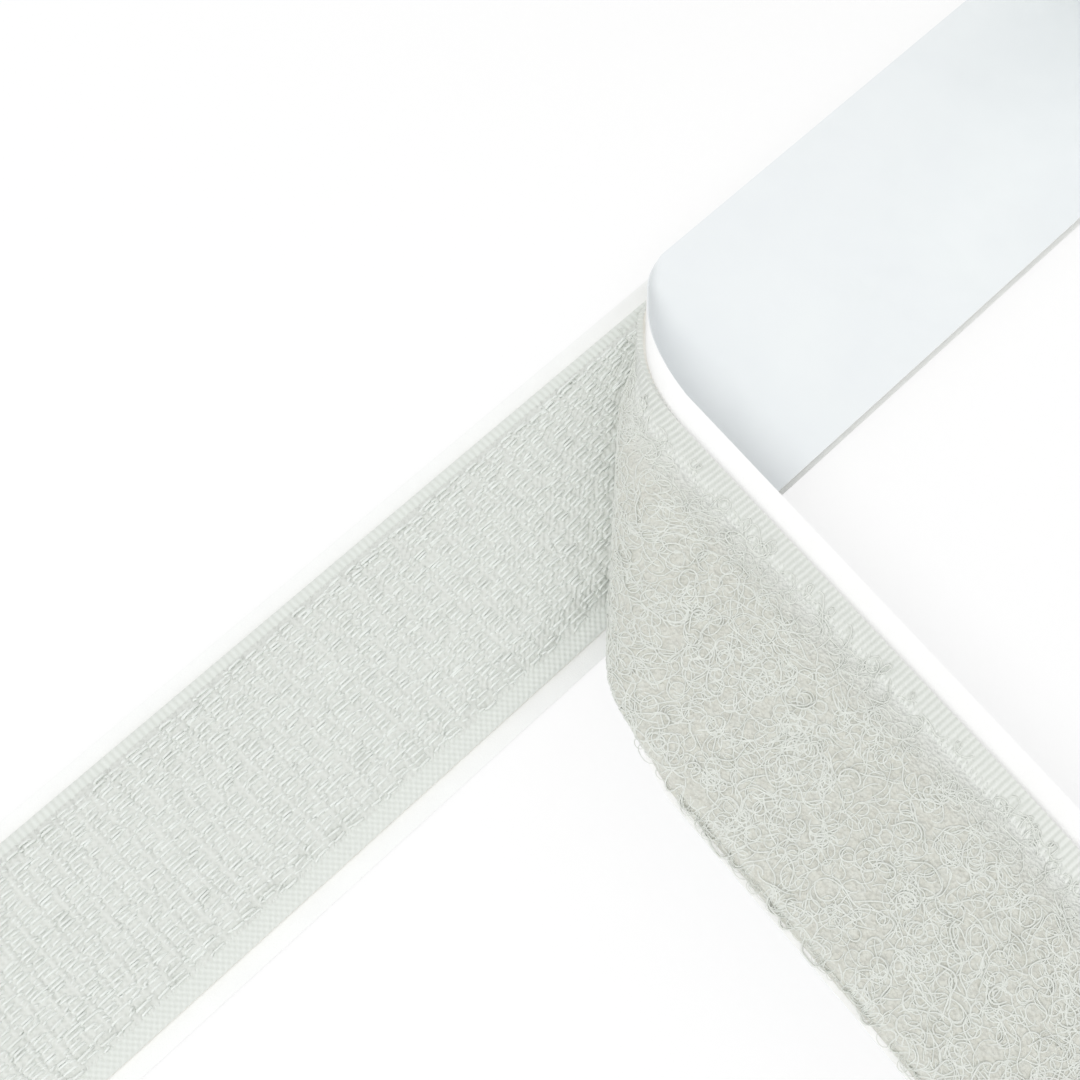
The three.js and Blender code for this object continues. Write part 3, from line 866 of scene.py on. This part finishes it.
def makePile():
    made = makePileBeds()
    rng = random.Random(curls["seed"])
    stretches = {"bend": [], "leaf_1": [], "leaf_2": [], "leaf_3": [], "leaf_4": []}
    spanX = (tapeLow.x, flatX(half, 0))
    long = spanX[1] - spanX[0]
    count = round(long * (pileLeft - pileRight) * curls["density"])
    starts = [(rng.uniform(*spanX), rng.uniform(pileRight, curlsLeft)) for i in range(count)]
    for i in range(round(count * curls["edging"])):
        starts.append((rng.uniform(*spanX), pileRight + rng.uniform(0.0, curls["edgeWide"])))
    loops = [(rng.uniform(*spanX), None) for i in range(round(long * fringe["density"]))]
    for x, y in starts + loops:
        edgeY = pileRight if y is None else y
        past = pastPeel(x, edgeY)
        # fewer strands stand towards the ribbed side
        full = 1.0 if y is None else curls["thinnest"] + ease((curlsLeft - y) / curls["thinWide"])
        thin = y is not None and rng.random() > full
        if past < curls["clear"] or thin:
            continue
        word = "bend"
        if past >= bendEnd:
            word = f"leaf_{1 + min(3, int((leafLine(edgeY) - x) / curls['cut']))}"
        place = onFold if word == "bend" else onLeaf
        stretches[word].append(fringeLoop(rng, x, place) if y is None else wanderingStrand(rng, x, y, place))
    for word, strands in stretches.items():
        mesh = strandCurve("pile", strands, curls["radius"])
        body = None if word == "bend" else leafBody
        piece = finishPiece(f"loop_pile_strands_{word}", mesh, "loop", body, ())
        if word == "bend":
            blendBend(piece)
        made[word.split("_")[0]].append(piece)
        print("pile", word, len(strands), "faces", len(mesh.polygons))
    return made


# The pressed pile between the tapes, and fine loops of it that stand out of the edges of the closed
# strip and of the roll; along counts the loops to a millimetre
pressed = {
    "thick": 1.45, "inset": 0.3, "cuts": (400, 40), "strip": 3.0, "roll": 0.9, "start": 6.0, "steps": 6,
    "depths": (-1.25, -0.1), "out": (0.15, 0.6), "wide": (0.2, 0.5), "arch": 0.2, "radii": (0.4, 0.6),
    "seed": 31,
}
loopTapeEdges = (loopRight + 0.2, loopLeft - 0.2)


def makeMatedPile():
    edges = (loopRight + pressed["inset"], loopLeft - pressed["inset"])
    return sheetPiece(
        "loop_pile_mated_bed", (peelLine, at(tapeHigh.x)), edges, pressed["cuts"], pressed["thick"],
        onStrip, loopFace - 0.05, "pileBed", root, "loop_nylon", ("loop_pile_mated",),
    )


def makeFringe(name, along, spanX, edges, place, body):
    rng = random.Random(pressed["seed"])
    strands = []
    for i in range(round((spanX[1] - spanX[0]) * along)):
        side = rng.choice(edges)
        x, out = rng.uniform(*spanX), math.copysign(rng.uniform(*pressed["out"]), side)
        wide, depth = rng.uniform(*pressed["wide"]), rng.uniform(*pressed["depths"])
        points = []
        for step in range(pressed["steps"] + 1):
            turn = math.pi * step / pressed["steps"]
            rise = math.sin(turn)
            spot = place(x + wide * math.cos(turn), side + out * rise, depth - pressed["arch"] * rise)
            points.append(spot)
        strands.append((points, rng.uniform(*pressed["radii"])))
    return finishPiece(name, strandCurve(name, strands, curls["radius"]), "loop", body, ())


matedFringe = makeFringe(
    "loop_pile_mated_fringe", pressed["strip"], (fold["peelX"] + pressed["start"], tapeHigh.x), loopTapeEdges,
    onMated, root,
)
makeLoopSheets({"mated": [makeMatedPile(), matedFringe], **makePile()})
print("loop tape made")
makeHookTape([makeHooks(), makeStems()])
print("hook tape made")

# The roll: every layer of the strip wound on one spiral
windings = {
    "hook_liner": {"half": linerHalf, "near": 0.0, "thick": 0.15, "material": "paper", "slot": "paper_liner"},
    "hook_adhesive": {"half": 12.2, "near": 0.22, "thick": 0.25, "material": "adhesive", "slot": "adhesive"},
    "hook_ply": {"half": 12.5, "near": 0.5, "thick": 0.6, "material": "hookPly", "slot": "hook_nylon"},
    "pile": {"half": 12.3, "near": 1.1, "thick": 1.4, "material": "pileBed", "slot": "loop_nylon"},
    "loop_ply": {"half": 12.5, "near": 2.52, "thick": 0.55, "material": "loopPly", "slot": "loop_nylon"},
    "loop_adhesive": {"half": 12.2, "near": 3.1, "thick": 0.25, "material": "adhesive", "slot": "adhesive"},
    "loop_liner": {
        "half": linerHalf, "near": 3.45, "thick": 0.15, "material": "release film", "slot": "film_liner",
    },
}
windingNodes = {
    "hook_liner": ("hook_liner_wound",),
    "hook_ply": ("hook_tape_wound",),
    "loop_ply": ("loop_tape_wound",),
    "loop_liner": ("loop_liner_wound",),
}


def woundLength(near):
    return math.pi * roll["turns"] * (2 * (rollZ - near) - turnPitch * roll["turns"])


def turnsAt(length):  # how many turns a length of the middle layer takes, from the outside in
    across = rollZ - roll["middle"]
    return (across - math.sqrt(max(0.0, across ** 2 - length * turnPitch / math.pi))) / turnPitch


def onWoundPile(x, y, depth):
    return onRoll(turnsAt(x), y, windings["loop_ply"]["near"] + depth)


def makeRoll():
    for word, layer in windings.items():
        wide = layer["half"]
        middle = 0.0 if word.endswith("liner") or word.startswith("hook") else loopLeft - tapeHigh.y
        piece = sheetPiece(
            f"{word}_winding", (at(0.0), at(roll["turns"])), (middle - wide, middle + wide),
            (round(roll["cuts"] * roll["turns"]), 6), layer["thick"], onRoll, layer["near"],
            layer["material"], root, layer["slot"], windingNodes.get(word, ()),
            flatAlong=roll["meanTurn"], flip=True,
        )


makeRoll()
makeFringe(
    "loop_pile_wound_fringe", pressed["roll"], (0.0, woundLength(roll["middle"])), loopTapeEdges,
    onWoundPile, root,
)
print("roll made")

# The core: a cardboard tube, turned round the roll's axis with its cut rims a little broken
core = {"bore": 19.0, "wall": 2.0, "rim": 0.25, "steps": 144}


def makeCore():
    bm = bmesh.new()
    halfLong = coreHigh.y
    inner, outer, rim = core["bore"], core["bore"] + core["wall"], core["rim"]
    end = [(inner, rim), (inner + rim, 0.0), (outer - rim, 0.0), (outer, rim)]
    profile = [(radius, -halfLong + back) for radius, back in end]
    profile += [(radius, halfLong - back) for radius, back in reversed(end)]
    corners = [bm.verts.new(Vector((radius, y, 0)) * mm) for radius, y in profile]
    edges = [bm.edges.new((corners[i], corners[(i + 1) % len(corners)])) for i in range(len(corners))]
    bmesh.ops.spin(
        bm, geom=corners + edges, cent=(0, 0, 0), axis=(0, 1, 0), angle=2 * math.pi, steps=core["steps"],
        use_merge=True,
    )
    bmesh.ops.translate(bm, verts=bm.verts, vec=Vector((rollX, 0, rollZ)) * mm)
    bmesh.ops.recalc_face_normals(bm, faces=bm.faces)
    mesh = bpy.data.meshes.new("core")
    bm.to_mesh(mesh)
    bm.free()
    mesh.set_sharp_from_angle(angle=math.radians(30))
    finishPiece("core_card_tube", mesh, "card", root, ("core_tube",))


makeCore()
print("core made")

# Floor, light and camera; the floor and lamps are in metres
studio = {"floor": 3.0, "drop": 0.0002, "glow": 0.75, "sky": 0.76}
lamps = {
    "key lamp": {"place": (-0.85, -0.10, 1.20), "size": 0.6, "power": 6.3},
    "fill lamp": {"place": (0.6, -0.9, 1.1), "size": 0.9, "power": 1.6},
}
view = {"lens": 49.6, "sensor": 36.0, "place": (-47.3, -40.0, 151.0), "look": (0.2292, 0.2472, -0.9415)}


def seenRays(tree):  # rays that show a surface as it is, straight, as a reflection or through glass
    rays = addNode(tree, "LightPath")
    seen = math2(tree, "MAXIMUM", rays.outputs["Is Camera Ray"], rays.outputs["Is Glossy Ray"])
    return math2(tree, "MAXIMUM", seen, rays.outputs["Is Transmission Ray"])


def makeFloor():
    bm = bmesh.new()
    bmesh.ops.create_grid(bm, x_segments=1, y_segments=1, size=studio["floor"])
    mesh = bpy.data.meshes.new("floor")
    bm.to_mesh(mesh)
    bm.free()
    floor = bpy.data.objects.new("floor", mesh)
    scene.collection.objects.link(floor)
    floor.location.z = -studio["drop"]
    material, tree, shader = newMaterial("floor", Roughness=0.9, Specular_IOR_Level=0.0)
    cloud = addNode(tree, "TexNoise", {"Scale": 3.0})
    tree.links.new(addNode(tree, "TexCoord").outputs["Object"], cloud.inputs["Vector"])
    mix = addNode(tree, "Mix", data_type="RGBA")
    mix.inputs[6].default_value = linear(253, 253, 253)
    mix.inputs[7].default_value = linear(255, 255, 255)
    tree.links.new(cloud.outputs["Fac"], mix.inputs["Factor"])
    tree.links.new(mix.outputs[2], shader.inputs["Base Color"])
    glow = addNode(tree, "Emission", {"Strength": 1.0})
    clear = addNode(tree, "MixShader")
    tree.links.new(math2(tree, "MULTIPLY", seenRays(tree), studio["glow"]), clear.inputs[0])
    tree.links.new(shader.outputs[0], clear.inputs[1])
    tree.links.new(glow.outputs[0], clear.inputs[2])
    tree.links.new(clear.outputs[0], tree.nodes["Material Output"].inputs["Surface"])
    mesh.materials.append(material)


def makeLight():
    world = bpy.data.worlds.new("studio")
    scene.world = world
    world.use_nodes = True
    tree = world.node_tree
    back = tree.nodes["Background"]
    back.inputs["Color"].default_value = (1, 1, 1, 1)
    rest = math2(tree, "MULTIPLY", seenRays(tree), 1 - studio["sky"])
    tree.links.new(math2(tree, "ADD", rest, studio["sky"]), back.inputs["Strength"])
    for name, settings in lamps.items():
        lamp = bpy.data.lights.new(name, "AREA")
        lamp.size = settings["size"]
        lamp.energy = settings["power"]
        holder = bpy.data.objects.new(name, lamp)
        scene.collection.objects.link(holder)
        holder.location = settings["place"]
        holder.rotation_mode = "QUATERNION"
        holder.rotation_quaternion = (-Vector(settings["place"])).to_track_quat("-Z", "Y")


def makeCamera():
    lens = bpy.data.cameras.new("camera")
    lens.lens, lens.sensor_width = view["lens"], view["sensor"]
    lens.clip_start, lens.clip_end = 0.01, 20.0
    camera = bpy.data.objects.new("camera", lens)
    scene.collection.objects.link(camera)
    camera.location = Vector(view["place"]) * mm
    camera.rotation_mode = "QUATERNION"
    camera.rotation_quaternion = Vector(view["look"]).to_track_quat("-Z", "Y")
    scene.camera = camera


makeFloor()
makeLight()
makeCamera()
print("scene set")
